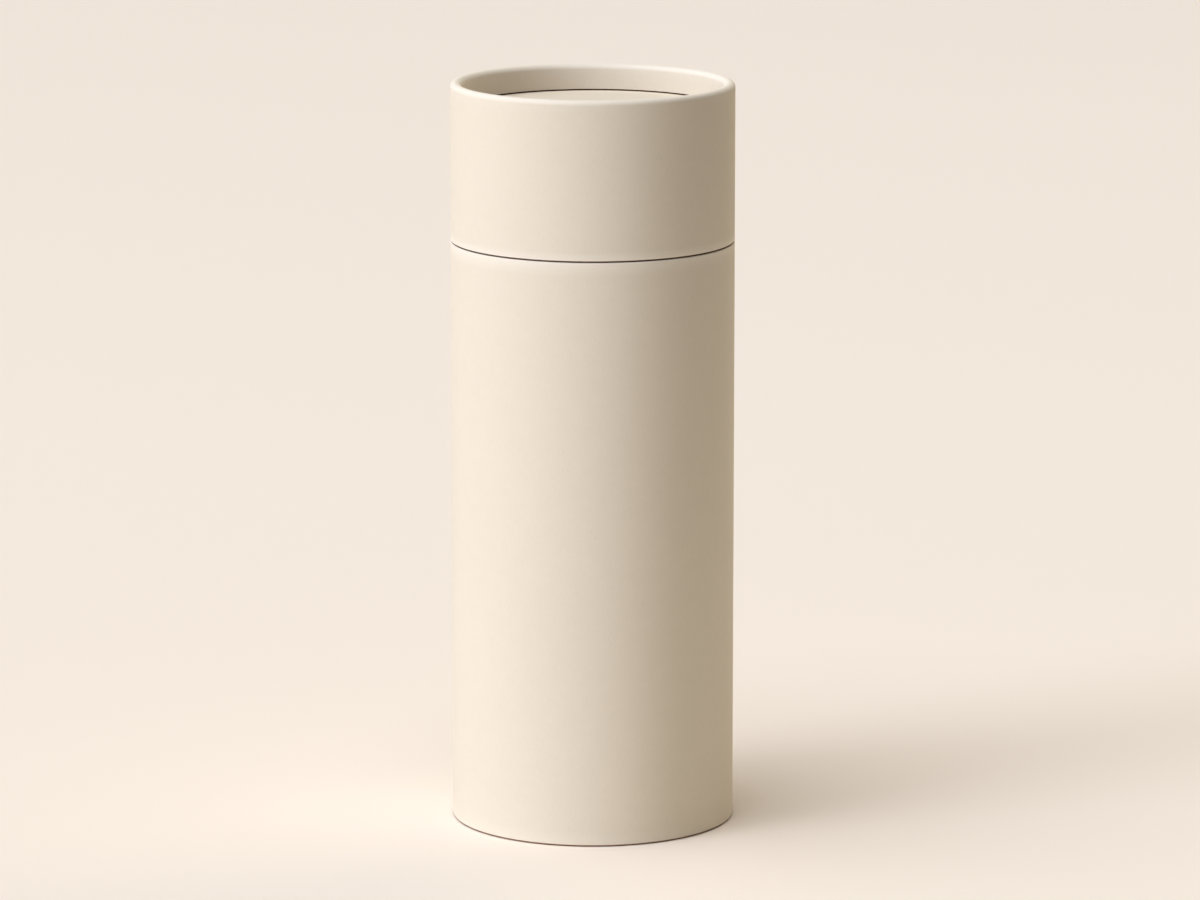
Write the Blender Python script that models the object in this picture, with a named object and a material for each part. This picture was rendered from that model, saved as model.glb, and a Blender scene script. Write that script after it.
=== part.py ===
"""A round paper box with a lift-off lid, for keeping a rolled sheet.

The box is a shoulder box made of wound board tubes. A body tube and a lid tube
of one diameter meet at a hairline seam. A neck tube glued inside the body
stands up past the seam, and the lid slides down over it. Each end is closed by
a board disc set back from the edge, and cream paper wraps the outside and is
turned in over every edge. Inside the rim and inside the foot the turned-in
paper stops just short of the disc, which leaves a fine groove round it.

Units are metres, +Z is up, and the origin is the middle of the foot. Profiles
are lists of (radius, height) points, turned round the Z axis.
"""

import math

import bmesh
import bpy
from mathutils import Matrix

# Outside of the box
OUTER_RADIUS = 0.0440
BODY_HEIGHT = 0.1824
LID_HEIGHT = 0.0491
SEAM_GAP = 0.0003

# Board and paper
TUBE_WALL = 0.0027
NECK_WALL = 0.0015
DISC_BOARD = 0.0020
PAPER = 0.0002
BOARD_EDGE_RADIUS = 0.0001

# Fits
GLUE_LINE = 0.0002
SEAT_GAP = 0.0003
RUNNING_CLEARANCE = 0.0003

# Depths inside the ends
RIM_RECESS_DEPTH = 0.0083
FOOT_RECESS_DEPTH = 0.0050
DISC_GROOVE = 0.0005
NECK_RISE = 0.0280
TURN_IN_DEPTH = 0.0120

# Smoothness of the turned shapes
SEGMENTS = 64
RIM_STEPS = 8
CORNER_STEPS = 2
SHARP_ANGLE = math.radians(50)

# Radii of the layers, from the outside in
TUBE_BORE_RADIUS = OUTER_RADIUS - PAPER - GLUE_LINE - TUBE_WALL
DISC_RADIUS = TUBE_BORE_RADIUS - GLUE_LINE
TURN_IN_OUTER_RADIUS = TUBE_BORE_RADIUS - GLUE_LINE
TURN_IN_RADIUS = TURN_IN_OUTER_RADIUS - PAPER
FACING_RADIUS = TURN_IN_RADIUS - GLUE_LINE
NECK_WRAP_RADIUS = TURN_IN_RADIUS - RUNNING_CLEARANCE
NECK_TUBE_RADIUS = NECK_WRAP_RADIUS - PAPER - GLUE_LINE
NECK_BORE_RADIUS = NECK_TUBE_RADIUS - NECK_WALL
NECK_LINING_RADIUS = NECK_BORE_RADIUS - GLUE_LINE
CAVITY_RADIUS = NECK_LINING_RADIUS - PAPER
FLOOR_LINING_RADIUS = CAVITY_RADIUS - GLUE_LINE

# Heights of the body's layers, from the foot
BASE_DISC_BOTTOM = FOOT_RECESS_DEPTH + PAPER + GLUE_LINE
BASE_DISC_TOP = BASE_DISC_BOTTOM + DISC_BOARD
FLOOR_LINING_BOTTOM = BASE_DISC_TOP + GLUE_LINE
NECK_BOTTOM = BASE_DISC_TOP + SEAT_GAP
NECK_LENGTH = BODY_HEIGHT + NECK_RISE - NECK_BOTTOM
LID_BOTTOM = BODY_HEIGHT + SEAM_GAP

# Heights of the lid's layers, from its lower edge
LID_FACING_TOP = LID_HEIGHT - RIM_RECESS_DEPTH
LID_FACING_BOTTOM = LID_FACING_TOP - PAPER
LID_DISC_BOTTOM = LID_FACING_BOTTOM - GLUE_LINE - DISC_BOARD
CEILING_LINING_BOTTOM = LID_DISC_BOTTOM - GLUE_LINE - PAPER
WALL_LINING_BOTTOM = TURN_IN_DEPTH + SEAT_GAP
WALL_LINING_HEIGHT = LID_DISC_BOTTOM - SEAT_GAP - WALL_LINING_BOTTOM

# Rounding of the paper over the board's edges
EDGE_RADIUS = BOARD_EDGE_RADIUS + GLUE_LINE + PAPER
RIM_RADIUS = (OUTER_RADIUS - TURN_IN_RADIUS) / 2
RIM_MIDDLE_RADIUS = (OUTER_RADIUS + TURN_IN_RADIUS) / 2

# Colour, roughness and metallic value of each material
WRAP_PAPER = ((0.80, 0.73, 0.63), 0.85, 0.0)
LINING_PAPER = ((0.84, 0.80, 0.73), 0.90, 0.0)
GREY_BOARD = ((0.47, 0.39, 0.30), 0.92, 0.0)


def clear_scene():
    """Removes every object that the scene starts with."""
    for obj in list(bpy.data.objects):
        bpy.data.objects.remove(obj, do_unlink=True)


def make_material(name, finish):
    """A Principled material with one finish's colour, roughness and metallic value."""
    colour, roughness, metallic = finish
    material = bpy.data.materials.new(name)
    material.use_nodes = True
    shader = material.node_tree.nodes["Principled BSDF"]
    shader.inputs["Base Color"].default_value = (*colour, 1.0)
    shader.inputs["Roughness"].default_value = roughness
    shader.inputs["Metallic"].default_value = metallic
    material.diffuse_color = (*colour, 1.0)
    return material


def arc(centre, radius, start, end, steps):
    """Points on an arc round centre, between two angles in degrees from +X."""
    points = []
    for step in range(steps + 1):
        angle = math.radians(start + (end - start) * step / steps)
        points.append((centre[0] + radius * math.cos(angle), centre[1] + radius * math.sin(angle)))
    return points


def lid_outline(depth):
    """The lid wall's outline at one depth under its surface: over the rim, down and round the edge."""
    rim_centre = (RIM_MIDDLE_RADIUS, LID_HEIGHT - RIM_RADIUS)
    outer_corner = (OUTER_RADIUS - EDGE_RADIUS, EDGE_RADIUS)
    inner_corner = (TURN_IN_RADIUS + EDGE_RADIUS, EDGE_RADIUS)
    return (
        arc(rim_centre, RIM_RADIUS - depth, 180, 0, RIM_STEPS)
        + arc(outer_corner, EDGE_RADIUS - depth, 0, -90, CORNER_STEPS)
        + arc(inner_corner, EDGE_RADIUS - depth, -90, -180, CORNER_STEPS)
    )


def body_outline(depth):
    """The body wall's outline at one depth under its surface: over the top, down and round the foot."""
    top = BODY_HEIGHT - EDGE_RADIUS
    inner_middle = TURN_IN_RADIUS + EDGE_RADIUS
    outer_middle = OUTER_RADIUS - EDGE_RADIUS
    radius = EDGE_RADIUS - depth
    return (
        arc((inner_middle, top), radius, 180, 90, CORNER_STEPS)
        + arc((outer_middle, top), radius, 90, 0, CORNER_STEPS)
        + arc((outer_middle, EDGE_RADIUS), radius, 0, -90, CORNER_STEPS)
        + arc((inner_middle, EDGE_RADIUS), radius, -90, -180, CORNER_STEPS)
    )


def neck_outline(depth):
    """The neck wall's outline at one depth under its surface: over the mouth and down the outside."""
    top = NECK_LENGTH - EDGE_RADIUS
    radius = EDGE_RADIUS - depth
    return (
        arc((CAVITY_RADIUS + EDGE_RADIUS, top), radius, 180, 90, CORNER_STEPS)
        + arc((NECK_WRAP_RADIUS - EDGE_RADIUS, top), radius, 90, 0, CORNER_STEPS)
        + [(NECK_WRAP_RADIUS - depth, 0)]
    )


def wrap_profile(outline, first_height, last_height=None):
    """A sheet of paper that follows an outline, with its inner ends at the given heights."""
    sides = []
    for depth in (0, PAPER):
        points = outline(depth)
        side = [(points[0][0], first_height)] + points
        if last_height is not None:
            side.append((points[-1][0], last_height))
        sides.append(side)
    return sides[0] + sides[1][::-1]


def ring_profile(outer_radius, inner_radius, height):
    """The square-cut section of a plain tube."""
    return [(inner_radius, height), (outer_radius, height), (outer_radius, 0), (inner_radius, 0)]


def turn(name, profile):
    """A mesh made by spinning a closed profile once round the Z axis."""
    shape = bmesh.new()
    corners = [shape.verts.new((radius, 0, height)) for radius, height in profile]
    edges = [shape.edges.new((corners[i - 1], corners[i])) for i in range(len(corners))]
    bmesh.ops.spin(
        shape,
        geom=corners + edges,
        cent=(0, 0, 0),
        axis=(0, 0, 1),
        angle=2 * math.pi,
        steps=SEGMENTS,
        use_merge=True,
    )
    bmesh.ops.recalc_face_normals(shape, faces=shape.faces)
    return finish_mesh(name, shape)


def plate(name, radius, thickness):
    """The mesh of a flat disc that stands on its own lower face."""
    shape = bmesh.new()
    bmesh.ops.create_cone(
        shape,
        cap_ends=True,
        segments=SEGMENTS,
        radius1=radius,
        radius2=radius,
        depth=thickness,
        matrix=Matrix.Translation((0, 0, thickness / 2)),
    )
    return finish_mesh(name, shape)


def finish_mesh(name, shape):
    """Turns bmesh geometry into a mesh, smooth but for its sharp edges."""
    mesh = bpy.data.meshes.new(name)
    shape.to_mesh(mesh)
    shape.free()
    mesh.shade_smooth()
    mesh.set_sharp_from_angle(angle=SHARP_ANGLE)
    return mesh


def place(mesh, material, parent, height=0):
    """Adds an object for a mesh, with its lower end at one height on its parent's axis."""
    obj = bpy.data.objects.new(mesh.name, mesh)
    obj.data.materials.append(material)
    obj.parent = parent
    obj.location.z = height
    bpy.context.scene.collection.objects.link(obj)
    return obj


def add_axis(name, height):
    """Adds an empty on the Z axis that carries one half of the box."""
    axis = bpy.data.objects.new(name, None)
    axis.empty_display_size = OUTER_RADIUS
    axis.location.z = height
    bpy.context.scene.collection.objects.link(axis)
    return axis


def build_body(papers):
    """The body: its wall, its foot disc, the neck tube and their papers."""
    wrap, lining, board = papers
    axis = add_axis("body_axis", 0)
    place(turn("body_tube", body_outline(PAPER + GLUE_LINE)), board, axis)
    body_turn_in = BODY_HEIGHT - TURN_IN_DEPTH
    foot_turn_in = FOOT_RECESS_DEPTH - DISC_GROOVE
    body_wrap = wrap_profile(body_outline, body_turn_in, foot_turn_in)
    place(turn("body_wrap", body_wrap), wrap, axis)

    place(plate("base_disc_facing", FACING_RADIUS, PAPER), wrap, axis, FOOT_RECESS_DEPTH)
    place(plate("base_disc", DISC_RADIUS, DISC_BOARD), board, axis, BASE_DISC_BOTTOM)
    place(plate("floor_lining", FLOOR_LINING_RADIUS, PAPER), lining, axis, FLOOR_LINING_BOTTOM)

    neck_bore = [(NECK_BORE_RADIUS, 0)]
    neck_board = neck_outline(PAPER + GLUE_LINE) + neck_bore
    place(turn("neck_tube", neck_board), board, axis, NECK_BOTTOM)
    neck_turn_in = NECK_LENGTH - TURN_IN_DEPTH
    place(turn("neck_wrap", wrap_profile(neck_outline, neck_turn_in)), wrap, axis, NECK_BOTTOM)
    lining_height = neck_turn_in - SEAT_GAP
    neck_lining = ring_profile(NECK_LINING_RADIUS, CAVITY_RADIUS, lining_height)
    place(turn("neck_lining", neck_lining), lining, axis, NECK_BOTTOM)


def build_lid(papers):
    """The lid: its wall, the disc set down inside the rim and their papers."""
    wrap, lining, board = papers
    axis = add_axis("lid_axis", LID_BOTTOM)
    place(turn("lid_tube", lid_outline(PAPER + GLUE_LINE)), board, axis)
    lid_wrap = wrap_profile(lid_outline, LID_FACING_TOP + DISC_GROOVE, TURN_IN_DEPTH)
    place(turn("lid_wrap", lid_wrap), wrap, axis)

    place(plate("lid_disc_facing", FACING_RADIUS, PAPER), wrap, axis, LID_FACING_BOTTOM)
    place(plate("lid_disc", DISC_RADIUS, DISC_BOARD), board, axis, LID_DISC_BOTTOM)
    place(plate("ceiling_lining", FACING_RADIUS, PAPER), lining, axis, CEILING_LINING_BOTTOM)
    wall_lining = ring_profile(TURN_IN_OUTER_RADIUS, TURN_IN_RADIUS, WALL_LINING_HEIGHT)
    place(turn("lid_wall_lining", wall_lining), lining, axis, WALL_LINING_BOTTOM)


def main():
    """Builds the whole box, closed."""
    clear_scene()
    papers = (
        make_material("wrap_paper", WRAP_PAPER),
        make_material("lining_paper", LINING_PAPER),
        make_material("grey_board", GREY_BOARD),
    )
    build_body(papers)
    build_lid(papers)


main()
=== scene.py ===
"""The looks of a round scroll box: cream paper over wound board tube, with a lift-off lid.

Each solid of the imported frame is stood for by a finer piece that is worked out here. A
piece is a sheet of paper, a tube or a disc of board, and each is a closed profile that
is turned round the Z axis. Sheets carry what a hand-covered tube shows: the lap where
the paper overlaps itself, the fold over each edge and the puckers of the turned-in ends.

Units are metres and +Z is up. A profile is an array of (radius, height) points, with
the material on its left, so that a turned profile has its faces pointing outwards.
"""

import logging
import math
from dataclasses import dataclass
from enum import Enum
from typing import Callable, Optional, Union

import bpy
import numpy as np
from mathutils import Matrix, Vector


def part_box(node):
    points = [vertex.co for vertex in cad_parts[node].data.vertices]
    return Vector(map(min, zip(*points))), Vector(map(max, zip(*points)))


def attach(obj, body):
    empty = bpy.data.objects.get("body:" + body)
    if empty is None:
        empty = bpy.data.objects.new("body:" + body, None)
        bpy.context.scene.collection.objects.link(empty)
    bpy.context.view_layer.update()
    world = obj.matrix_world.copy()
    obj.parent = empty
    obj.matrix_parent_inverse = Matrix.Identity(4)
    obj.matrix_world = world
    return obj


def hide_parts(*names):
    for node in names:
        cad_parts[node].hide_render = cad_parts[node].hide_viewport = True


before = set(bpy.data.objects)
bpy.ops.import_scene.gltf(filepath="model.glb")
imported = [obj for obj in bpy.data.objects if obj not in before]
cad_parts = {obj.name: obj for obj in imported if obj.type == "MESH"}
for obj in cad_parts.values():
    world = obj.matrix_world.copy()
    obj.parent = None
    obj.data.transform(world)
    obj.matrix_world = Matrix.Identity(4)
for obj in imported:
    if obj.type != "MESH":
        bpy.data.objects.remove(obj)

LOG = logging.getLogger("scroll_box")
MM = 0.001
FULL_TURN = 2.0 * math.pi
SHARP_ANGLE = math.radians(40.0)

# How finely the shapes are cut up
COLUMNS = 480
EVEN_ANGLES = np.linspace(0.0, FULL_TURN, COLUMNS, endpoint=False)
FOLD_STEPS = 8
RIM_STEPS = 28
DISC_EDGE_STEPS = 4
DISC_PITCH = 4.0 * MM
DISC_EYE = 0.1
ROUNDING = 1e-6
# The points of the rim's half circle, counted from outside, that are painted paler: a little wear, and a
# painted highlight along the crest
WEAR_AND_HIGHLIGHT_CROWN = slice(8, 23, 2)

Colour = tuple[float, float, float]
Feed = Union[bpy.types.NodeSocket, float, Colour]
# A value's first and last number, and what the two become
Span = tuple[float, float, float, float]


class Rider(Enum):
    """The bodies of the frame that a piece can ride on."""

    BODY = "body"
    LID = "lid"


class Stuff(Enum):
    """What a piece is made of: its material slot, and the word that its name ends in."""

    WRAP = ("wrap_paper", "sheet")
    LINING = ("lining_paper", "liner")
    BOARD = ("grey_board", "board")

    @property
    def slot(self) -> str:
        """The record's name of the material slot."""
        return self.value[0]

    @property
    def word(self) -> str:
        """The last word of the name of each piece made of it."""
        return self.value[1]


@dataclass(frozen=True)
class Extent:
    """How far a turned solid of the frame reaches: its radius and its two heights."""

    radius: float
    bottom: float
    top: float

    @classmethod
    def of(cls, node: str) -> "Extent":
        """Reads one node's radius, lowest height and highest height off the frame."""
        low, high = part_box(node)
        return cls(high.x, low.z, high.z)


@dataclass(frozen=True)
class Stock:
    """The sheet goods of the box and the fits between them."""

    paper: float = 0.20 * MM
    tube_wall: float = 2.70 * MM
    neck_wall: float = 1.50 * MM
    glue_line: float = 0.20 * MM
    groove: float = 0.42 * MM
    fold_radius: float = 0.50 * MM
    lid_fold: float = 0.30 * MM
    foot_fold: float = 0.80 * MM
    seam_ease: float = 0.07 * MM
    cut_radius: float = 0.05 * MM
    board_radius: float = 0.12 * MM
    board_pitch: float = 6.0 * MM
    turn_in: float = 12.0 * MM
    seat_gap: float = 0.30 * MM

    @property
    def skin(self) -> float:
        """The depth of the board under the paper's surface."""
        return self.paper + self.glue_line


STOCK = Stock()


def ease(values: np.ndarray) -> np.ndarray:
    """Eases values from 0 to 1 and holds them there outside that span.

    The formula is t * t * (3 - 2 * t), with t the value held between 0 and 1.

    Args:
        values: numbers of any size.

    Returns:
        The eased numbers, in the same shape.
    """
    share = np.clip(values, 0.0, 1.0)
    return share * share * (3.0 - 2.0 * share)


def arc(centre: tuple[float, float], radius: float, start: float, end: float,
        steps: int = FOLD_STEPS) -> np.ndarray:
    """Works out points on an arc of a profile.

    The points are the centre plus radius * (cos a, sin a), with the angle a going evenly
    from start to end.

    Args:
        centre: the arc's centre, as (radius, height).
        radius: the arc's own radius.
        start: the first angle in degrees, from the direction away from the axis.
        end: the last angle in degrees.
        steps: how many chords the arc has.

    Returns:
        An array of steps + 1 points.
    """
    angles = np.radians(np.linspace(start, end, steps + 1))
    return np.column_stack((centre[0] + radius * np.cos(angles), centre[1] + radius * np.sin(angles)))


def fill_runs(points: np.ndarray, pitch: float) -> np.ndarray:
    """Adds points to the straight runs of an open profile.

    A run of length L gets L / pitch chords, rounded up, all alike.

    Args:
        points: the profile.
        pitch: the longest chord that is left.

    Returns:
        The profile with the added points.
    """
    lengths = np.linalg.norm(np.diff(points, axis=0), axis=1)
    counts = np.maximum(1, np.ceil(lengths / pitch - ROUNDING).astype(int))
    first = np.repeat(np.arange(len(counts)), counts)
    within = np.arange(counts.sum()) - np.repeat(np.cumsum(counts) - counts, counts)
    share = (within / np.repeat(counts, counts))[:, None]
    filled = points[first] * (1.0 - share) + points[first + 1] * share
    return np.vstack((filled, points[-1:]))


def outward(points: np.ndarray) -> np.ndarray:
    """Works out the outward normals of an open profile with its material on the left.

    The normal is the direction from the point before to the point after, turned a quarter
    turn to the right.

    Args:
        points: the profile.

    Returns:
        One unit normal for each point.
    """
    along = np.gradient(points, axis=0)
    normal = np.column_stack((along[:, 1], -along[:, 0]))
    return normal / np.linalg.norm(normal, axis=1, keepdims=True)


@dataclass(frozen=True)
class Lap:
    """Where a wrapped sheet overlaps itself: a low band with one soft and one crisp side.

    The sheet lies lower beside the band and comes up to its full radius a little further
    round, so the band stands no prouder than the rest of the piece.
    """

    angle: float
    width: float = 9.0 * MM
    step: float = 0.11 * MM
    soft_side: float = 0.9 * MM
    crisp_side: float = 0.05 * MM
    sunk_arc: float = math.radians(28.0)
    eased_arc: float = math.radians(40.0)
    line_share: float = 0.30
    line_reach: float = 0.10 * MM
    soft_columns: int = 5
    merged_share: float = 0.3

    def columns(self, radius: float) -> np.ndarray:
        """Chooses the angles of a mesh's columns, finer where the band has its sides.

        An even column is dropped where a fine one lies nearer than merged_share of its width.

        Args:
            radius: the radius that the sheet is wrapped at.

        Returns:
            Angles that start at the band's crisp side and go once round, rising.
        """
        crisp = self.crisp_side / radius
        width = self.width / radius
        soft = self.soft_side / radius
        slope = np.linspace(width, width + soft, self.soft_columns)
        fine = np.concatenate(([0.0, crisp, 2.0 * crisp], slope, [FULL_TURN - 2.0 * crisp]))
        gaps = np.min(np.abs(EVEN_ANGLES[:, None] - fine[None, :]), axis=1)
        even = EVEN_ANGLES[gaps >= self.merged_share * FULL_TURN / COLUMNS]
        return self.angle + np.sort(np.concatenate((even, fine)))

    def height(self, angles: np.ndarray, radius: float) -> np.ndarray:
        """Works out how far the sheet lies under its full radius at each angle.

        With d the angle from the crisp side, the band is 1 from the crisp side to the soft
        one and 0 elsewhere, and the sheet sinks by step * (1 - band) * near, where near
        fades from 1 to 0 over eased_arc, past sunk_arc on either hand.

        Args:
            angles: the angles of the columns.
            radius: the radius that the sheet is wrapped at.

        Returns:
            Heights along the outward normal, none above zero.
        """
        turned = np.mod(angles - self.angle, FULL_TURN)
        rise = ease(turned * radius / self.crisp_side)
        fall = 1.0 - ease((turned * radius - self.width) / self.soft_side)
        away = np.minimum(turned, FULL_TURN - turned)
        near = 1.0 - ease((away - self.sunk_arc) / self.eased_arc)
        return -self.step * (1.0 - rise * fall) * near

    def line(self, angles: np.ndarray, radius: float) -> np.ndarray:
        """Works out how dark the sheet is beside the band's crisp side at each angle.

        With d the distance along the wall from the crisp side, it is
        line_share * exp(-(d / line_reach) ** 2).

        Args:
            angles: the angles of the columns.
            radius: the radius that the sheet is wrapped at.

        Returns:
            A share from 0 to 1 for each column.
        """
        turned = np.mod(angles - self.angle, FULL_TURN)
        away = radius * np.minimum(turned, FULL_TURN - turned)
        return self.line_share * np.exp(-((away / self.line_reach) ** 2))


@dataclass(frozen=True)
class Puckers:
    """The small pleats of a paper edge that is turned in to a smaller radius."""

    depth: float
    seed: int
    reach: float = 0.6 * MM
    waves: tuple[int, ...] = (61, 83, 97, 131, 149)

    def height(self, share: np.ndarray, angles: np.ndarray) -> np.ndarray:
        """Works out the pleats' relief.

        It is a sum of cosines of whole numbers of waves a turn, with seeded phases, scaled
        to lie between -depth and 0, times the share of the way into the turned-in edge.

        Args:
            share: for each row, 0 where the paper is smooth and 1 where the pleats are full.
            angles: the angles of the columns.

        Returns:
            Heights along the outward normal, rows by columns, none above zero.
        """
        chance = np.random.default_rng(self.seed)
        phases = chance.uniform(0.0, FULL_TURN, len(self.waves))
        wave = np.cos(np.outer(angles, self.waves) + phases).mean(axis=1)
        return -self.depth * np.outer(share, 0.5 - 0.5 * wave)


@dataclass(frozen=True)
class PaintedEdgeShade:
    """Painted shade on an edge: a dark line where its paper turns into a gap, or meets the floor."""

    height: float
    start: float
    full: float
    strength: float = 1.0
    reach: float = 0.8 * MM
    depth: float = 1.5 * MM

    def share(self, face: np.ndarray) -> np.ndarray:
        """Works out how much painted shade each point of a face takes.

        With n how far the outward normal points along the axis, up or down, it is
        strength * ease((n - start) / (full - start)) within reach of the edge's height and
        within depth of the wall's outside, and 0 elsewhere.

        Args:
            face: the profile of the sheet's face.

        Returns:
            A share from 0 to 1 for each point.
        """
        slope = np.abs(outward(face)[:, 1])
        near = np.abs(face[:, 1] - self.height) < self.reach
        near &= face[:, 0] > face[:, 0].max() - self.depth
        return self.strength * ease((slope - self.start) / (self.full - self.start)) * near


@dataclass(frozen=True)
class Weave:
    """A mesh in the making, on a grid: its points, its sheet coordinates and its marks.

    Rows follow the profile and columns go round the axis. The last column meets the first.
    Each mark is a name and a share from 0 to 1 for each row, or for each row and column.
    """

    points: np.ndarray
    along: np.ndarray
    around: np.ndarray
    marks: dict[str, np.ndarray]

    def mesh(self, name: str, is_disc: bool) -> bpy.types.Mesh:
        """Makes the mesh of the grid.

        A tube's last row meets its first. A disc's first and last rows each end in a fan
        of triangles to a pole on the axis.

        Args:
            name: the mesh's name.
            is_disc: whether the grid is a disc.

        Returns:
            A closed mesh with a UV map in metres, named sheet, and an attribute for each mark.
        """
        rows, columns = self.points.shape[:2]
        vertices = self.points.reshape(-1, 3)
        low, left = np.meshgrid(np.arange(rows - is_disc), np.arange(columns), indexing="ij")
        low, left = low.ravel(), left.ravel()
        high, right = (low + 1) % rows, (left + 1) % columns
        quads = np.column_stack((low, high, high, low)) * columns
        quads += np.column_stack((left, left, right, right))
        corners, sizes = quads.ravel(), np.full(len(quads), 4)
        if is_disc:
            vertices = np.vstack((vertices, self.points[[0, -1], 0] * (0.0, 0.0, 1.0)))
            ring = np.arange(columns)
            follow = (ring + 1) % columns
            last = (rows - 1) * columns
            top = np.column_stack((np.full(columns, rows * columns), ring, follow))
            foot = np.column_stack((np.full(columns, rows * columns + 1), last + follow, last + ring))
            corners = np.concatenate((corners, top.ravel(), foot.ravel()))
            sizes = np.concatenate((sizes, np.full(2 * columns, 3)))
            uv = vertices[corners, :2]
        else:
            u = np.column_stack((left, left, left + 1, left + 1)).ravel()
            v = np.column_stack((low, low + 1, low + 1, low)).ravel()
            uv = np.column_stack((self.around[u], self.along[v]))
        poles = np.zeros(2 if is_disc else 0)
        marks = {
            mark: np.append(np.broadcast_to(share.reshape(rows, -1), (rows, columns)), poles)
            for mark, share in self.marks.items()
        }
        return fill_mesh(name, vertices, corners, sizes, uv, marks)


def fill_mesh(name: str, vertices: np.ndarray, corners: np.ndarray, sizes: np.ndarray,
              uv: np.ndarray, marks: dict[str, np.ndarray]) -> bpy.types.Mesh:
    """Puts arrays into a new mesh, shaded smooth but for its sharp edges.

    Args:
        name: the mesh's name.
        vertices: the points.
        corners: the vertex of each face corner, face after face.
        sizes: how many corners each face has.
        uv: the sheet coordinates of each corner, in metres.
        marks: for each mark, of wear, glue, painted highlight or painted shade, its share at each vertex,
            from 0 to 1.

    Returns:
        The mesh.
    """
    mesh = bpy.data.meshes.new(name)
    mesh.vertices.add(len(vertices))
    mesh.vertices.foreach_set("co", vertices.astype(np.float32).ravel())
    mesh.loops.add(len(corners))
    mesh.loops.foreach_set("vertex_index", corners.astype(np.int32))
    mesh.polygons.add(len(sizes))
    mesh.polygons.foreach_set("loop_start", (np.cumsum(sizes) - sizes).astype(np.int32))
    mesh.update(calc_edges=True)
    layer = mesh.uv_layers.new(name="sheet")
    layer.data.foreach_set("uv", uv.astype(np.float32).ravel())
    for mark, share in marks.items():
        mesh.attributes.new(mark, "FLOAT", "POINT").data.foreach_set("value", share.astype(np.float32))
    mesh.shade_smooth()
    mesh.set_sharp_from_angle(angle=SHARP_ANGLE)
    return mesh


def spread_from(spots: np.ndarray, profile: np.ndarray, reach: float = 0.9 * MM) -> np.ndarray:
    """Works out how strong a mark is at each point of a profile.

    It is exp(-(d / reach) ** 2), with d the distance to the nearest spot.

    Args:
        spots: the points where the mark is strongest.
        profile: the profile.
        reach: how far the mark spreads from a spot.

    Returns:
        A share from 0 to 1 for each point.
    """
    distance = np.linalg.norm(profile[:, None, :] - spots[None, :, :], axis=2).min(axis=1)
    return np.exp(-((distance / reach) ** 2))


def revolve(angles: np.ndarray, radii: np.ndarray, heights: np.ndarray) -> np.ndarray:
    """Turns a profile round the axis: each point is (r * cos a, r * sin a, h).

    Args:
        angles: the angle a of each column.
        radii: the radius r of each row, or of each row and column.
        heights: the height h of each row, or of each row and column.

    Returns:
        The points, rows by columns by three.
    """
    heights = np.broadcast_to(heights, (len(heights), len(angles)))
    return np.stack((radii * np.cos(angles), radii * np.sin(angles), heights), axis=2)


def turn_wall(name: str, points: np.ndarray, angles: np.ndarray, loop: np.ndarray,
              marks: dict[str, np.ndarray]) -> bpy.types.Mesh:
    """Makes the mesh of a closed wall that goes round the axis.

    Args:
        name: the mesh's name.
        points: the wall's points, rows by columns.
        angles: the angles of the columns.
        loop: the wall's smooth profile, which sets the sheet coordinates.
        marks: for each mark, of wear, glue, painted highlight or painted shade, its share at each row, or
            at each row and column.

    Returns:
        The wall's mesh.
    """
    steps = np.linalg.norm(np.diff(np.vstack((loop, loop[:1])), axis=0), axis=1)
    along = np.append(0.0, np.cumsum(steps))
    around = np.append(angles - angles[0], FULL_TURN) * loop[:, 0].max()
    return Weave(points, along, around, marks).mesh(name, is_disc=False)


@dataclass(frozen=True)
class Sheet:
    """A sheet of paper round a wall.

    Its side is a function that gives the open profile of the sheet at one depth under its
    face, and inner is the radius of the paper that is turned in.
    """

    side: Callable[[float], np.ndarray]
    inner: float
    lap: Lap
    puckers: Puckers
    wear_and_highlight_spots: np.ndarray
    edge_shade: tuple[PaintedEdgeShade, ...] = ()

    def mesh(self, name: str) -> bpy.types.Mesh:
        """Turns the sheet round the axis: its face, and its back that leads on from it.

        A point of the face is moved along its normal by the relief, which is the lap's
        height on the wall's outer half, plus the puckers' where the paper is turned in.

        Args:
            name: the mesh's name.

        Returns:
            The sheet's mesh.
        """
        face, back = self.side(0.0), self.side(STOCK.paper)[::-1]
        outer = face[:, 0].max()
        middle = 0.5 * (self.inner + outer)
        angles = self.lap.columns(outer)
        lapped = ease((face[:, 0] - middle) / (outer - middle))
        turned_in = ease((self.inner + self.puckers.reach - face[:, 0]) / self.puckers.reach)
        relief = np.outer(lapped, self.lap.height(angles, outer))
        relief += self.puckers.height(turned_in, angles)
        normal = outward(face)
        still = np.zeros((len(back), len(angles)))
        loop = np.vstack((face, back))
        radii = loop[:, :1] + np.vstack((normal[:, :1] * relief, still))
        heights = loop[:, 1:] + np.vstack((normal[:, 1:] * relief, still))
        # The lap's dark line, and painted shade on edges that turn into a gap or meet the floor
        line = np.outer(lapped, self.lap.line(angles, outer))
        edges = sum((edge.share(face) for edge in self.edge_shade), np.zeros(len(face)))
        shade_and_lap_line = np.vstack((np.maximum(line, edges[:, None]), still))
        marks = {"wear_and_highlight": spread_from(self.wear_and_highlight_spots, loop), "shade_and_lap_line": shade_and_lap_line}
        return turn_wall(name, revolve(angles, radii, heights), angles, loop, marks)


def turn_disc(name: str, profile: np.ndarray) -> bpy.types.Mesh:
    """Turns a disc round the axis, from the middle of its top to the middle of its foot.

    Args:
        name: the mesh's name.
        profile: the disc's edge, from a small ring on its top to one on its foot.

    Returns:
        The disc's mesh.
    """
    points = revolve(EVEN_ANGLES, profile[:, :1], profile[:, 1:])
    return Weave(points, np.zeros(len(profile)), EVEN_ANGLES, {}).mesh(name, is_disc=True)


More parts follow.
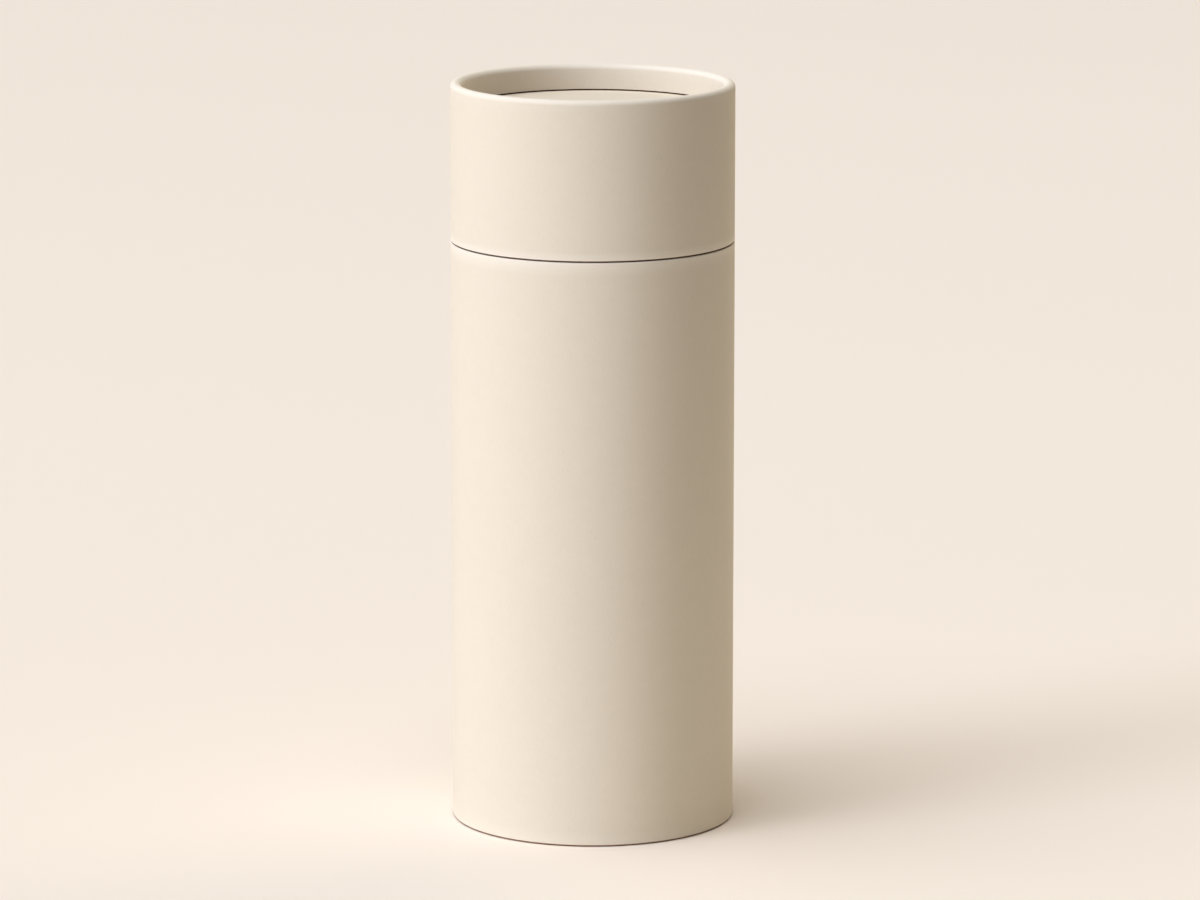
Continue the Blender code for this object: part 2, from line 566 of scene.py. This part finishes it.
def cut_disc(extent: Extent, edge_radius: float) -> np.ndarray:
    """Works out the profile of a disc with eased edges.

    Its smallest ring has DISC_EYE times its radius, and a fan of triangles closes that.

    Args:
        extent: the disc's radius and its two heights.
        edge_radius: the radius of its two edges.

    Returns:
        The profile, from a small ring on its top to one on its foot.
    """
    middle = extent.radius - edge_radius
    start = (DISC_EYE * extent.radius, extent.top)
    edge = np.vstack((
        arc((middle, extent.top - edge_radius), edge_radius, 90.0, 0.0, DISC_EDGE_STEPS),
        arc((middle, extent.bottom + edge_radius), edge_radius, 0.0, -90.0, DISC_EDGE_STEPS),
    ))
    rings = fill_runs(np.vstack((start, edge[:1])), DISC_PITCH)[:-1]
    return np.vstack((rings, edge, rings[::-1] * (1.0, 0.0) + (0.0, extent.bottom)))


class NodeBench:
    """Adds and links the shader nodes of one material or world.

    A Mix node has inputs of one name for each kind of value, so its colour inputs go by
    their places: the share, the colour under and the colour over.
    """

    MIX_INPUTS = (0, 6, 7)
    MIX_OUTPUT = 2

    def __init__(self, owner: Union[bpy.types.Material, bpy.types.World]) -> None:
        """Starts on the nodes that a new material or world has.

        Args:
            owner: the material or world.
        """
        owner.use_nodes = True
        self.owner = owner
        self.tree = owner.node_tree

    def add(self, kind: str, settings: Optional[dict] = None, **inputs: Feed) -> bpy.types.Node:
        """Adds one node.

        Args:
            kind: the node's type in Blender.
            settings: attributes of the node, by name.
            inputs: sockets or constants for its inputs, by name, with _ for a space.

        Returns:
            The node.
        """
        node = self.tree.nodes.new(kind)
        for key, value in (settings or {}).items():
            setattr(node, key, value)
        self.fill(node, **inputs)
        return node

    def fill(self, node: bpy.types.Node, **inputs: Feed) -> None:
        """Feeds inputs of a node by name, with _ for a space."""
        for name, value in inputs.items():
            self.feed(node, name.replace("_", " "), value)

    def feed(self, node: bpy.types.Node, name: Union[str, int], value: Feed) -> None:
        """Links a socket to one input of a node, or sets a constant there.

        Args:
            node: the node.
            name: the input's name or place.
            value: what goes in.
        """
        if isinstance(value, bpy.types.NodeSocket):
            self.tree.links.new(value, node.inputs[name])
        elif isinstance(value, tuple) and len(node.inputs[name].default_value) == 4:
            node.inputs[name].default_value = (*value, 1.0)
        else:
            node.inputs[name].default_value = value

    def sheet(self, turn: float = 0.0, stretch: float = 1.0) -> bpy.types.NodeSocket:
        """Adds the sheet coordinates, turned and then stretched along their second axis.

        Args:
            turn: the angle that they are turned by.
            stretch: how much longer a pattern gets along the second axis.

        Returns:
            The coordinates, in metres.
        """
        flat = self.add("ShaderNodeUVMap", {"uv_map": "sheet"})
        placed = self.add("ShaderNodeMapping", Vector=flat.outputs["UV"])
        placed.inputs["Rotation"].default_value = (0.0, 0.0, turn)
        placed.inputs["Scale"].default_value = (1.0, 1.0 / stretch, 1.0)
        return placed.outputs["Vector"]

    def noise(self, vector: bpy.types.NodeSocket, grain: float, detail: float = 2.0,
              roughness: float = 0.5) -> bpy.types.NodeSocket:
        """Adds a noise whose features are about one grain across.

        Args:
            vector: the coordinates.
            grain: the size of its features, in metres.
            detail: how many finer layers it has.
            roughness: how strong the finer layers are.

        Returns:
            The noise's value, around 0.5.
        """
        inputs = {"Vector": vector, "Scale": 1.0 / grain, "Detail": detail, "Roughness": roughness}
        return self.add("ShaderNodeTexNoise", **inputs).outputs["Fac"]

    def remap(self, value: Feed, span: Span) -> bpy.types.NodeSocket:
        """Maps a value on to a new span, and holds it there.

        Args:
            value: the value.
            span: its first and last number, and what the two become.

        Returns:
            The mapped value.
        """
        node = self.add("ShaderNodeMapRange", {"clamp": True}, Value=value)
        for name, number in zip(("From Min", "From Max", "To Min", "To Max"), span):
            node.inputs[name].default_value = number
        return node.outputs["Result"]

    def sum(self, operation: str, first: Feed, second: Feed) -> bpy.types.NodeSocket:
        """Adds a Math node.

        Args:
            operation: what it does, such as ADD or MULTIPLY.
            first: its first value.
            second: its second value.

        Returns:
            The result.
        """
        node = self.add("ShaderNodeMath", {"operation": operation})
        self.feed(node, 0, first)
        self.feed(node, 1, second)
        return node.outputs["Value"]

    def tint(self, share: Feed, under: Feed, over: Feed, blend: str = "MIX") -> bpy.types.NodeSocket:
        """Lays one colour over another.

        Args:
            share: how much of it is laid over, from 0 to 1.
            under: the colour under it.
            over: the colour that is laid over.
            blend: how the two are blended.

        Returns:
            The blended colour.
        """
        node = self.add("ShaderNodeMix", {"data_type": "RGBA", "blend_type": blend})
        for place, value in zip(self.MIX_INPUTS, (share, under, over)):
            self.feed(node, place, value)
        return node.outputs[self.MIX_OUTPUT]

    def shade(self, colour: Feed, value: Feed) -> bpy.types.NodeSocket:
        """Scales a colour by a value near 1."""
        grey = self.add("ShaderNodeCombineColor", Red=value, Green=value, Blue=value)
        return self.tint(1.0, colour, grey.outputs["Color"], "MULTIPLY")

    def mark(self, name: str) -> bpy.types.NodeSocket:
        """How strong one mark is, from the mesh: wear, glue, painted highlight or painted shade."""
        return self.add("ShaderNodeAttribute", {"attribute_name": name}).outputs["Fac"]

    def split(self, lighting: bpy.types.NodeSocket, shown: bpy.types.NodeSocket, output: str) -> None:
        """Shows one shader to the eye and another to rays of light.

        The eye's rays are the camera's, and those that a gloss or a clear piece sends on.

        Args:
            lighting: the shader for rays of light.
            shown: the shader for the eye.
            output: the name of the output node that takes the two.
        """
        path = self.add("ShaderNodeLightPath")
        seen = path.outputs["Is Camera Ray"]
        for ray in ("Is Glossy Ray", "Is Transmission Ray"):
            seen = self.sum("MAXIMUM", seen, path.outputs[ray])
        mix = self.add("ShaderNodeMixShader")
        for place, value in enumerate((seen, lighting, shown)):
            self.feed(mix, place, value)
        self.feed(self.tree.nodes[output], "Surface", mix.outputs["Shader"])

    def finish(self, colour: Feed, height: Feed, depth: float, roughness: float,
               specular: float) -> bpy.types.Material:
        """Feeds the shader.

        Args:
            colour: the surface's colour.
            height: the relief, from 0 to 1.
            depth: what a height of 1 stands for, in metres.
            roughness: the surface's roughness.
            specular: how strong its reflections are, with 0.5 the usual value.

        Returns:
            The material.
        """
        shader = self.tree.nodes["Principled BSDF"]
        bump = self.add("ShaderNodeBump", Height=height, Strength=1.0, Distance=depth)
        self.fill(shader, Base_Color=colour, Normal=bump.outputs["Normal"])
        self.fill(shader, Roughness=roughness, Specular_IOR_Level=specular)
        return self.owner


@dataclass(frozen=True)
class PaperFinish:
    """Uncoated paper: cloudy formation, crossed fibres, a fine tooth, paler folds of wear and painted
    highlight, painted shade on edges that turn into gaps, and a dark line along the lap.
    """

    name: str
    colour: Colour
    fibre_colour: Colour
    # Paler colour of the folds and the crest: wear, pushed further as a painted highlight
    wear_and_highlight_colour: Colour
    # Dark brown for the painted shade on edges that turn into a gap, and for the lap's dark line
    shade_and_lap_line_colour: Colour = (0.190, 0.075, 0.020)
    cloud_grain: float = 5.0 * MM
    drift_grain: float = 45.0 * MM
    fibre_grain: float = 0.22 * MM
    fibre_stretch: float = 9.0
    fibre_turns: tuple[float, ...] = (12.0, 74.0, 131.0)
    fibre_crests: Span = (0.62, 0.74, 0.0, 1.0)
    tooth_grain: float = 0.28 * MM
    tooth_depth: float = 0.012 * MM
    tooth_relief: float = 0.7
    fibre_relief: float = 0.3
    cloud_span: Span = (0.3, 0.7, 0.991, 1.009)
    drift_span: Span = (0.3, 0.7, 0.9955, 1.0045)
    fibre_share: float = 0.16
    # A noise breaks up the marks; then their strengths: paler wear with a painted highlight, and painted
    # shade with the lap's dark line
    mark_breakup_grain: float = 0.8 * MM
    wear_and_highlight_breakup: Span = (0.35, 0.65, 0.80, 1.0)
    wear_and_highlight_share: float = 0.85
    shade_and_lap_line_breakup: Span = (0.25, 0.50, 0.80, 1.0)
    shade_and_lap_line_share: float = 0.95
    roughness: float = 0.92
    specular: float = 0.05

    def material(self) -> bpy.types.Material:
        """Builds the paper's material.

        Returns:
            A material that reads the mesh's own sheet map and its marks.
        """
        bench = NodeBench(bpy.data.materials.new(self.name))
        flat = bench.sheet()
        clouds = bench.noise(flat, self.cloud_grain, detail=4.0, roughness=0.6)
        drift = bench.noise(flat, self.drift_grain, detail=1.0)
        formation = bench.sum(
            "MULTIPLY", bench.remap(clouds, self.cloud_span), bench.remap(drift, self.drift_span)
        )
        colour = bench.shade(self.colour, formation)
        fibres = self.fibres(bench)
        colour = bench.tint(bench.sum("MULTIPLY", fibres, self.fibre_share), colour, self.fibre_colour)
        mark_breakup = bench.noise(flat, self.mark_breakup_grain, detail=3.0)
        # Lays the paler wear with its painted highlight, then the painted shade and the lap's dark line
        for mark, span, share, mark_colour in (
            ("wear_and_highlight", self.wear_and_highlight_breakup, self.wear_and_highlight_share, self.wear_and_highlight_colour),
            ("shade_and_lap_line", self.shade_and_lap_line_breakup, self.shade_and_lap_line_share, self.shade_and_lap_line_colour),
        ):
            strength = bench.sum("MULTIPLY", bench.mark(mark), bench.remap(mark_breakup, span))
            colour = bench.tint(bench.sum("MULTIPLY", strength, share), colour, mark_colour)
        tooth = bench.noise(flat, self.tooth_grain, detail=3.0, roughness=0.65)
        raised = bench.sum("MULTIPLY", fibres, self.fibre_relief)
        relief = bench.sum("ADD", bench.sum("MULTIPLY", tooth, self.tooth_relief), raised)
        return bench.finish(colour, relief, self.tooth_depth, self.roughness, self.specular)

    def fibres(self, bench: NodeBench) -> bpy.types.NodeSocket:
        """Adds crossing layers of drawn-out noise, of which only the crests show.

        Args:
            bench: where the nodes go.

        Returns:
            How much of a fibre lies at a point, from 0 to 1.
        """
        crests = 0.0
        for turn in self.fibre_turns:
            drawn = bench.sheet(math.radians(turn), self.fibre_stretch)
            noise = bench.noise(drawn, self.fibre_grain, detail=1.0)
            crests = bench.sum("MAXIMUM", crests, bench.remap(noise, self.fibre_crests))
        return crests


@dataclass(frozen=True)
class BoardFinish:
    """Grey board of pulped paper: clouds, dark and pale flecks, and a glue stain darkened as painted shade
    in the disc's groove.
    """

    name: str
    colour: Colour
    fleck_colour: Colour
    pale_colour: Colour
    # Dark brown of the glue in the groove, deepened as painted shade
    glue_and_shade_colour: Colour = (0.110, 0.045, 0.012)
    cloud_grain: float = 3.0 * MM
    cloud_span: Span = (0.3, 0.7, 0.93, 1.07)
    fleck_grain: float = 0.6 * MM
    fleck_span: Span = (0.64, 0.72, 0.0, 0.7)
    pale_grain: float = 1.02 * MM
    pale_span: Span = (0.28, 0.36, 0.6, 0.0)
    tooth_grain: float = 0.35 * MM
    tooth_depth: float = 0.04 * MM
    roughness: float = 0.93
    specular: float = 0.20

    def material(self) -> bpy.types.Material:
        """Builds the board's material.

        Returns:
            A material on Object coordinates.
        """
        bench = NodeBench(bpy.data.materials.new(self.name))
        place = bench.add("ShaderNodeTexCoord").outputs["Object"]
        clouds = bench.noise(place, self.cloud_grain, detail=4.0, roughness=0.6)
        colour = bench.shade(self.colour, bench.remap(clouds, self.cloud_span))
        flecks = bench.noise(place, self.fleck_grain)
        colour = bench.tint(bench.remap(flecks, self.fleck_span), colour, self.fleck_colour)
        pale = bench.noise(place, self.pale_grain)
        colour = bench.tint(bench.remap(pale, self.pale_span), colour, self.pale_colour)
        # Glue stain and painted shade where the board shows through the disc's groove
        colour = bench.tint(bench.mark("glue_and_groove_shade"), colour, self.glue_and_shade_colour)
        tooth = bench.noise(place, self.tooth_grain, detail=3.0, roughness=0.7)
        return bench.finish(colour, tooth, self.tooth_depth, self.roughness, self.specular)


FINISHES = {
    Stuff.WRAP: PaperFinish(
        "cream_wrap",
        colour=(0.800, 0.730, 0.630),
        fibre_colour=(0.62, 0.52, 0.40),
        # Paler folds and crest: wear, and a painted highlight
        wear_and_highlight_colour=(0.915, 0.860, 0.780),
    ),
    Stuff.LINING: PaperFinish(
        "pale_lining",
        colour=(0.84, 0.785, 0.70),
        fibre_colour=(0.70, 0.63, 0.52),
        wear_and_highlight_colour=(0.88, 0.84, 0.78),
        wear_and_highlight_share=0.20,
    ),
    Stuff.BOARD: BoardFinish(
        "wound_board",
        colour=(0.47, 0.39, 0.30),
        fleck_colour=(0.22, 0.17, 0.12),
        pale_colour=(0.66, 0.60, 0.50),
    ),
}
MATERIALS = {stuff: finish.material() for stuff, finish in FINISHES.items()}


class Workshop:
    """Makes the pieces of one half of the box, with their finish, their body and their node."""

    def __init__(self, rider: Rider) -> None:
        """Takes the body that all the pieces ride on."""
        self.rider = rider

    def settle(self, node: str, stuff: Stuff, mesh: bpy.types.Mesh) -> None:
        """Adds a finished piece to the scene.

        Args:
            node: the node of the frame that it stands for.
            stuff: what it is made of.
            mesh: its shape, in place.
        """
        piece = bpy.data.objects.new(f"{node}_{stuff.word}", mesh)
        bpy.context.scene.collection.objects.link(piece)
        mesh.materials.append(MATERIALS[stuff])
        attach(piece, self.rider.value)
        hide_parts(node)
        LOG.info("%s: %d faces, on %s", piece.name, len(mesh.polygons), self.rider.value)

    def wrap(self, node: str, sheet: Sheet) -> None:
        """Adds a wrapped sheet, which stands for a node."""
        self.settle(node, Stuff.WRAP, sheet.mesh(node))

    def disc(self, node: str, stuff: Stuff, extent: Extent) -> None:
        """Adds a disc, which stands for a node, with edges eased as its stuff's are."""
        edge_radius = STOCK.board_radius if stuff is Stuff.BOARD else STOCK.cut_radius
        self.settle(node, stuff, turn_disc(node, cut_disc(extent, edge_radius)))

    def wall(self, node: str, stuff: Stuff, outline: np.ndarray, glue_and_groove_shade: Optional[np.ndarray] = None) -> None:
        """Adds a wall with no relief.

        Args:
            node: the node of the frame that it stands for.
            stuff: what it is made of.
            outline: the corners and curves of its profile, once round.
            glue_and_groove_shade: the points where it is stained with glue, darkened as painted shade, if
                it is.
        """
        loop = fill_runs(np.vstack((outline, outline[:1])), STOCK.board_pitch)[:-1]
        marks = {} if glue_and_groove_shade is None else {"glue_and_groove_shade": spread_from(glue_and_groove_shade, loop)}
        points = revolve(EVEN_ANGLES, loop[:, :1], loop[:, 1:])
        self.settle(node, stuff, turn_wall(node, points, EVEN_ANGLES, loop, marks))


def folded(corner: tuple[float, float], inwards: tuple[float, float], depth: float, fold: float,
           start: float) -> np.ndarray:
    """Works out a quarter of a fold, at one depth under the paper's surface.

    Its radius is the fold's less the depth, and at least that of a cut edge. Its centre
    lies depth + radius from each of the two faces that meet at the corner.

    Args:
        corner: where the two faces would meet.
        inwards: the signs of the way from the corner into the material.
        depth: how far under the surface it lies.
        fold: the radius of the fold's surface.
        start: the arc's first angle in degrees.

    Returns:
        The points of a quarter circle, going on by 90 degrees.
    """
    radius = max(fold - depth, STOCK.cut_radius)
    centre = (corner[0] + inwards[0] * (depth + radius), corner[1] + inwards[1] * (depth + radius))
    return arc(centre, radius, start, start + 90.0)


def fold_points(wall: Extent, inner: float, heights: tuple[float, ...]) -> np.ndarray:
    """The outer and inner corners of a covered wall at the given heights."""
    return np.array([(radius, height) for height in heights for radius in (wall.radius, inner)])


def square_ring(extent: Extent) -> np.ndarray:
    """The corners of a square-cut ring of paper, from the foot of its bore outwards and up."""
    near, far, low, high = extent.radius - STOCK.paper, extent.radius, extent.bottom, extent.top
    return np.array([(near, low), (far, low), (far, high), (near, high)])


@dataclass
class Half:
    """What both halves of the box have: a wrapped tube, and a faced disc set in from its end."""

    NODES = ()

    wrap: Extent
    facing: Extent
    disc: Extent

    @classmethod
    def from_frame(cls) -> "Half":
        """Reads the sizes off the frame, with NODES in the order of the fields."""
        return cls(*map(Extent.of, cls.NODES))

    @property
    def inner(self) -> float:
        """The radius of the turned-in paper."""
        return self.wrap.radius - (STOCK.tube_wall + 2.0 * STOCK.skin)


@dataclass
class Lid(Half):
    """The lid: a tube with a full round rim, and a disc set down inside it."""

    NODES = ("lid_wrap", "lid_disc_facing", "lid_disc", "ceiling_lining", "lid_wall_lining")

    ceiling: Extent
    wall_liner: Extent
    lap: Lap = Lap(angle=math.radians(97.0))
    puckers: Puckers = Puckers(depth=0.030 * MM, seed=11)
    wall_pitch: float = 2.5 * MM
    # How far the glue stain and painted shade reach on the board about the disc's groove
    glue_and_shade_reach: float = 2.0 * MM
    glue_and_shade_points: int = 5

    @property
    def low_edge(self) -> float:
        """The height of the paper's lower edge, which is held a little back from the seam."""
        return self.wrap.bottom + STOCK.seam_ease

    def outline(self, depth: float) -> tuple[np.ndarray, np.ndarray]:
        """Works out the wall's outline at one depth under the paper's surface.

        It goes down the inside of the lower turn-in's fold, out round the lower edge, up
        the wall, and over the rim on a half circle.

        Args:
            depth: how far under the surface it lies.

        Returns:
            The lower edge with its two folds, and the rim.
        """
        lower = np.vstack((
            folded((self.inner, self.low_edge), (1.0, 1.0), depth, STOCK.fold_radius, 180.0),
            folded((self.wrap.radius, self.low_edge), (-1.0, 1.0), depth, STOCK.lid_fold, 270.0),
        ))
        half = 0.5 * (self.wrap.radius - self.inner)
        rim = arc((self.inner + half, self.wrap.top - half), half - depth, 0.0, 180.0, RIM_STEPS)
        return lower, rim

    def wrap_side(self, depth: float) -> np.ndarray:
        """Works out one side of the lid's wrap.

        Args:
            depth: how far under the paper's surface it lies.

        Returns:
            An open profile, from the end of the lower turn-in to the end of the upper one.
        """
        lower, rim = self.outline(depth)
        first = (self.inner + depth, self.wrap.bottom + STOCK.turn_in)
        last = (self.inner + depth, self.facing.top + STOCK.groove)
        return fill_runs(np.vstack((first, lower, rim, last)), self.wall_pitch)

    def build(self) -> None:
        """Builds and dresses the lid's six pieces."""
        shop = Workshop(Rider.LID)
        # Paler wear and a painted highlight on the lower edge's folds and the rim's crest
        crown = self.outline(0.0)[1][WEAR_AND_HIGHLIGHT_CROWN]
        wear_and_highlight_spots = np.vstack((fold_points(self.wrap, self.inner, (self.low_edge,)), crown))
        # Painted shade under the lid's lower edge, where it turns into the seam's gap
        edge_shade = (PaintedEdgeShade(self.low_edge, start=0.35, full=0.85),)
        shop.wrap("lid_wrap", Sheet(self.wrap_side, self.inner, self.lap, self.puckers, wear_and_highlight_spots, edge_shade))

        lower, rim = self.outline(STOCK.skin)
        # Glue stain and painted shade on the board behind the disc's groove
        slot = np.array([(lower[0, 0], self.facing.top + 0.5 * STOCK.groove)])
        glue_and_shade_spots = slot + np.linspace((0.0, self.glue_and_shade_reach), (0.0, -self.glue_and_shade_reach), self.glue_and_shade_points)
        shop.wall("lid_tube", Stuff.BOARD, np.vstack((lower, rim, glue_and_shade_spots)), slot)
        shop.disc("lid_disc", Stuff.BOARD, self.disc)
        shop.disc("lid_disc_facing", Stuff.WRAP, self.facing)
        shop.disc("ceiling_lining", Stuff.LINING, self.ceiling)
        shop.wall("lid_wall_lining", Stuff.LINING, square_ring(self.wall_liner))


@dataclass
class Body(Half):
    """The body: a tube with a disc set up inside its foot, and the neck tube inside it."""

    NODES = ("body_wrap", "base_disc_facing", "base_disc", "floor_lining", "neck_wrap", "neck_lining")

    floor: Extent
    neck: Extent
    neck_liner: Extent
    lap: Lap = Lap(angle=math.radians(84.0))
    neck_lap: Lap = Lap(angle=math.radians(60.0), width=7.0 * MM, step=0.09 * MM)
    puckers: Puckers = Puckers(depth=0.045 * MM, seed=5)
    wall_pitch: float = 4.0 * MM

    @property
    def neck_inner(self) -> float:
        """The radius of the paper turned in at the neck's mouth."""
        return self.neck.radius - STOCK.neck_wall - 2.0 * STOCK.skin

    def wall_outline(self, depth: float) -> np.ndarray:
        """Works out the wall's outline at one depth under the paper's surface.

        Args:
            depth: how far under the surface it lies.

        Returns:
            The foot's two folds and then the top's, once round.
        """
        low, high, near, far = self.wrap.bottom, self.wrap.top, self.inner, self.wrap.radius
        return np.vstack((
            folded((near, low), (1.0, 1.0), depth, STOCK.foot_fold, 180.0),
            folded((far, low), (-1.0, 1.0), depth, STOCK.foot_fold, 270.0),
            folded((far, high), (-1.0, -1.0), depth, STOCK.fold_radius, 0.0),
            folded((near, high), (1.0, -1.0), depth, STOCK.fold_radius, 90.0),
        ))

    @property
    def neck_foot(self) -> float:
        """The height of the neck's lower end."""
        return self.disc.top + STOCK.seat_gap

    def neck_outline(self, depth: float) -> np.ndarray:
        """Works out the neck's outline at one depth under its paper's surface.

        Args:
            depth: how far under the surface it lies.

        Returns:
            An open profile, up the outside and over the mouth.
        """
        high = self.neck.top
        return np.vstack((
            (self.neck.radius - depth, self.neck_foot),
            folded((self.neck.radius, high), (-1.0, -1.0), depth, STOCK.fold_radius, 0.0),
            folded((self.neck_inner, high), (1.0, -1.0), depth, STOCK.fold_radius, 90.0),
        ))

    def wrap_side(self, depth: float) -> np.ndarray:
        """Works out one side of the body's wrap.

        Args:
            depth: how far under the paper's surface it lies.

        Returns:
            An open profile, from its end inside the foot to its end inside the top.
        """
        first = (self.inner + depth, self.facing.bottom - STOCK.groove)
        last = (self.inner + depth, self.wrap.top - STOCK.turn_in)
        return fill_runs(np.vstack((first, self.wall_outline(depth), last)), self.wall_pitch)

    def neck_side(self, depth: float) -> np.ndarray:
        """One side of the neck's wrap, from its lower end to its end inside the mouth."""
        last = (self.neck_inner + depth, self.neck.top - STOCK.turn_in)
        return fill_runs(np.vstack((self.neck_outline(depth), last)), self.wall_pitch)

    def build(self) -> None:
        """Builds and dresses the body's eight pieces."""
        shop = Workshop(Rider.BODY)
        # Paler wear and a painted highlight on the folds of the foot and of the top edge
        wear_and_highlight_spots = fold_points(self.wrap, self.inner, (self.wrap.bottom, self.wrap.top))
        # Painted shade where the foot meets the floor, and on the top edge under the lid
        edge_shade = (
            PaintedEdgeShade(self.wrap.bottom, start=0.25, full=0.45),
            PaintedEdgeShade(self.wrap.top, start=0.85, full=0.98, strength=0.80),
        )
        shop.wrap("body_wrap", Sheet(self.wrap_side, self.inner, self.lap, self.puckers, wear_and_highlight_spots, edge_shade))
        shop.wall("body_tube", Stuff.BOARD, self.wall_outline(STOCK.skin))
        shop.disc("base_disc_facing", Stuff.WRAP, self.facing)
        shop.disc("base_disc", Stuff.BOARD, self.disc)
        shop.disc("floor_lining", Stuff.LINING, self.floor)

        mouth = fold_points(self.neck, self.neck_inner, (self.neck.top,))
        shop.wrap("neck_wrap", Sheet(self.neck_side, self.neck_inner, self.neck_lap, self.puckers, mouth))
        outline = self.neck_outline(STOCK.skin)
        bore = (outline[-1, 0], self.neck_foot)
        shop.wall("neck_tube", Stuff.BOARD, np.vstack((outline, bore)))
        shop.wall("neck_lining", Stuff.LINING, square_ring(self.neck_liner))


@dataclass(frozen=True)
class Lamp:
    """A far soft lamp, which lights everything alike from one side.

    azimuth is its side, in degrees, with 0 the camera's side and 90 the right; spread is
    its width as seen from the box, in degrees.
    """

    name: str
    azimuth: float
    elevation: float
    spread: float
    strength: float
    colour: Colour

    def light(self) -> None:
        """Adds the lamp to the scene."""
        data = bpy.data.lights.new(self.name, "SUN")
        data.angle = math.radians(self.spread)
        data.energy = self.strength
        data.color = self.colour
        lamp = bpy.data.objects.new(self.name, data)
        lamp.rotation_euler = (math.radians(90.0 - self.elevation), 0.0, math.radians(self.azimuth))
        bpy.context.scene.collection.objects.link(lamp)


@dataclass
class Studio:
    """The plain pale floor, the soft light and the camera at the photograph's view."""

    lamps: tuple[Lamp, ...] = (
        Lamp("key", azimuth=-60.0, elevation=12.0, spread=30.0, strength=1.55, colour=(0.96, 1.02, 1.17)),
        Lamp("top", azimuth=-60.0, elevation=70.0, spread=60.0, strength=2.37, colour=(1.0, 0.98, 0.95)),
        Lamp("back", azimuth=146.0, elevation=12.0, spread=60.0, strength=1.34, colour=(1.0, 0.87, 0.66)),
    )
    fill_colour: Colour = (1.0, 0.86, 0.68)
    fill_strength: float = 0.04
    floor_colour: Colour = (0.98, 0.895, 0.765)
    shown_colour: Colour = (0.957, 0.884, 0.816)
    # Painted shade: the shown floor darkens far back and to the right
    away_span: Span = (0.6, 2.1, 1.0, 0.950)
    right_span: Span = (-0.3, 0.3, 1.0, 0.985)
    backdrop_colour: Colour = (0.897, 0.806, 0.717)
    floor_reach: float = 20.0
    floor_right: float = 0.55
    floor_height: float = -0.01 * MM
    camera_place: tuple[float, float, float] = (0.00226, -1.8775, 0.4871)
    camera_pitch: float = 0.19511
    lens_mm: float = 184.22
    sensor_mm: float = 36.0

    def build(self) -> None:
        """Sets the stage."""
        self.lay_floor()
        self.fill_world()
        for lamp in self.lamps:
            lamp.light()
        self.aim_camera()
        bpy.context.scene.view_settings.view_transform = "Standard"

    def lay_floor(self) -> None:
        """Adds the floor, just under the foot.

        The eye sees a paler colour than its own, and the box's shadow stays on it.
        """
        far, right, height = self.floor_reach, self.floor_right, self.floor_height
        corners = [(-far, -far, height), (right, -far, height), (right, far, height), (-far, far, height)]
        mesh = bpy.data.meshes.new("floor")
        mesh.from_pydata(corners, [], [(0, 1, 2, 3)])
        floor = bpy.data.objects.new("floor", mesh)
        bpy.context.scene.collection.objects.link(floor)
        mesh.materials.append(self.floor_material())

    def floor_material(self) -> bpy.types.Material:
        """Builds the floor's material, with painted shade that makes it darker to the eye far back and on
        the right.

        Returns:
            A material on Object coordinates.
        """
        bench = NodeBench(bpy.data.materials.new("floor"))
        shader = bench.tree.nodes["Principled BSDF"]
        bench.fill(shader, Base_Color=self.floor_colour, Roughness=1.0, Specular_IOR_Level=0.0)
        place = bench.add("ShaderNodeTexCoord").outputs["Object"]
        parts = bench.add("ShaderNodeSeparateXYZ", Vector=place)
        away = bench.remap(parts.outputs["Y"], self.away_span)
        right = bench.remap(parts.outputs["X"], self.right_span)
        colour = bench.shade(self.shown_colour, bench.sum("MULTIPLY", away, right))
        shown = bench.add("ShaderNodeBsdfDiffuse", Color=colour)
        bench.split(shader.outputs["BSDF"], shown.outputs["BSDF"], "Material Output")
        return bench.owner

    def fill_world(self) -> None:
        """Lights the scene softly from all round, and shows a pale backdrop behind it."""
        world = bpy.data.worlds.new("studio")
        bpy.context.scene.world = world
        bench = NodeBench(world)
        fill = bench.tree.nodes["Background"]
        bench.fill(fill, Color=self.fill_colour, Strength=self.fill_strength)
        shown = bench.add("ShaderNodeBackground", Color=self.backdrop_colour)
        bench.split(fill.outputs["Background"], shown.outputs["Background"], "World Output")

    def aim_camera(self) -> None:
        """Puts the camera where the photograph was taken from."""
        data = bpy.data.cameras.new("camera")
        data.lens = self.lens_mm
        data.sensor_width = self.sensor_mm
        camera = bpy.data.objects.new("camera", data)
        camera.location = self.camera_place
        camera.rotation_euler = (0.5 * math.pi - self.camera_pitch, 0.0, 0.0)
        bpy.context.scene.collection.objects.link(camera)
        bpy.context.scene.camera = camera


def main() -> None:
    """Builds the studio and both halves of the box."""
    logging.basicConfig(level=logging.INFO, format="%(message)s")
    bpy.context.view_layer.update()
    Studio().build()
    Lid.from_frame().build()
    Body.from_frame().build()


if __name__ == "__main__":
    main()
